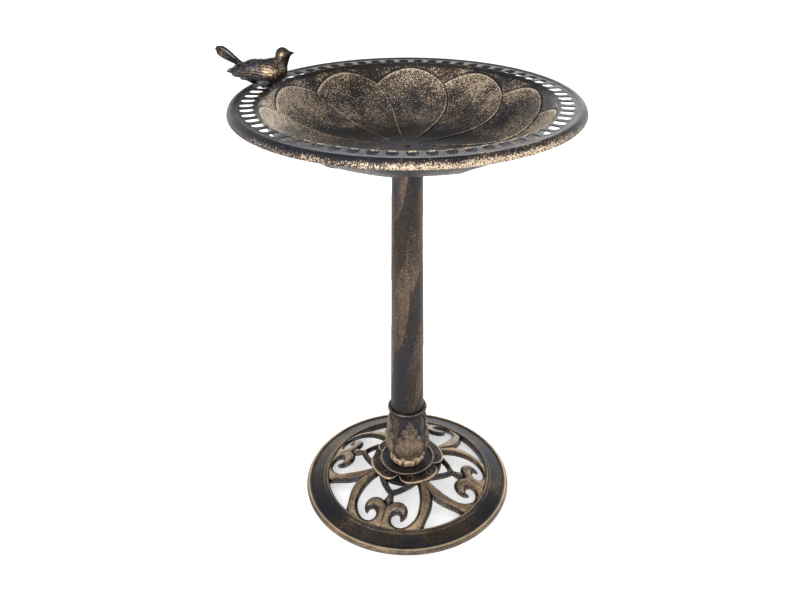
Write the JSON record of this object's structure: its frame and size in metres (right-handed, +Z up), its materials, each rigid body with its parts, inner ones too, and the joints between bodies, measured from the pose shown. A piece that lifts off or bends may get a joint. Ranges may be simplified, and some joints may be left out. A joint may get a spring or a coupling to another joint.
{
  "type": "bird bath",
  "caption": "Garden bird bath: a shallow slotted basin with a small bird on its rim lifts off a round sectional post on an openwork base.",
  "frame": {"origin": "on the post's axis, at ground level, at the centre of the ring the bird bath stands on", "axes": "+Z up along the post; -Y towards the viewer at the front; +X to the right, the way the bird looks"},
  "size_m": [0.5298, 0.5, 0.7664],
  "materials": {
    "antique_bronze": "near-black brown paint, dry-brushed with gold bronze on raised edges, fine grain",
    "basin_bronze": "mottled brown paint with fine bronze speckle, pale gold on the rim's crest",
    "dark_bronze": "satin navy-black paint with brown patches and bronze on the edges",
    "gold_bronze": "bright gold-bronze paint rubbed over black",
    "bird_bronze": "black-brown paint with gold rubbed over feather relief",
    "zinc_steel": "zinc-plated",
    "seal_rubber": "matt black"
  },
  "bodies": {
    "stand": {"base_ring": "dark_bronze", "hub_plate": "dark_bronze", "rosette": "antique_bronze", "rosette_screws": "dark_bronze", "scroll_1_left": "antique_bronze", "scroll_1_right": "antique_bronze", "scroll_2_left": "antique_bronze", "scroll_2_right": "antique_bronze", "scroll_3_left": "antique_bronze", "scroll_3_right": "antique_bronze", "scroll_4_left": "antique_bronze", "scroll_4_right": "antique_bronze", "arch_1": "antique_bronze", "arch_2": "antique_bronze", "arch_3": "antique_bronze", "arch_4": "antique_bronze", "clasp_1": "antique_bronze", "clasp_2": "antique_bronze", "clasp_3": "antique_bronze", "clasp_4": "antique_bronze", "dish": "dark_bronze", "knop": "gold_bronze", "leaf_collar": "antique_bronze", "post_lower": "antique_bronze", "post_middle": "antique_bronze", "post_upper": "antique_bronze", "lower_coupler": "zinc_steel", "upper_coupler": "zinc_steel", "tie_rod": "zinc_steel", "rod_nuts": "zinc_steel", "rod_washers": "zinc_steel", "clamp_disc": "zinc_steel"},
    "basin": {"basin": "basin_bronze", "basin_spigot": "dark_bronze", "basin_screw": "gold_bronze", "sealing_washer": "seal_rubber"},
    "bird": {"bird": "bird_bronze", "bird_stud": "zinc_steel", "bird_washer": "zinc_steel", "bird_nut": "zinc_steel"}
  },
  "joints": [
    {"name": "basin_lift", "type": "slide", "parent": "stand", "child": "basin", "axis": [0, 0, 1], "range_m": [0, 0.06]},
    {"name": "bird_turn", "type": "hinge", "parent": "basin", "child": "bird", "pos_m": [-0.20964, 0.07424, 0.708], "axis": [0, 0, 1], "continuous": true}
  ]
}
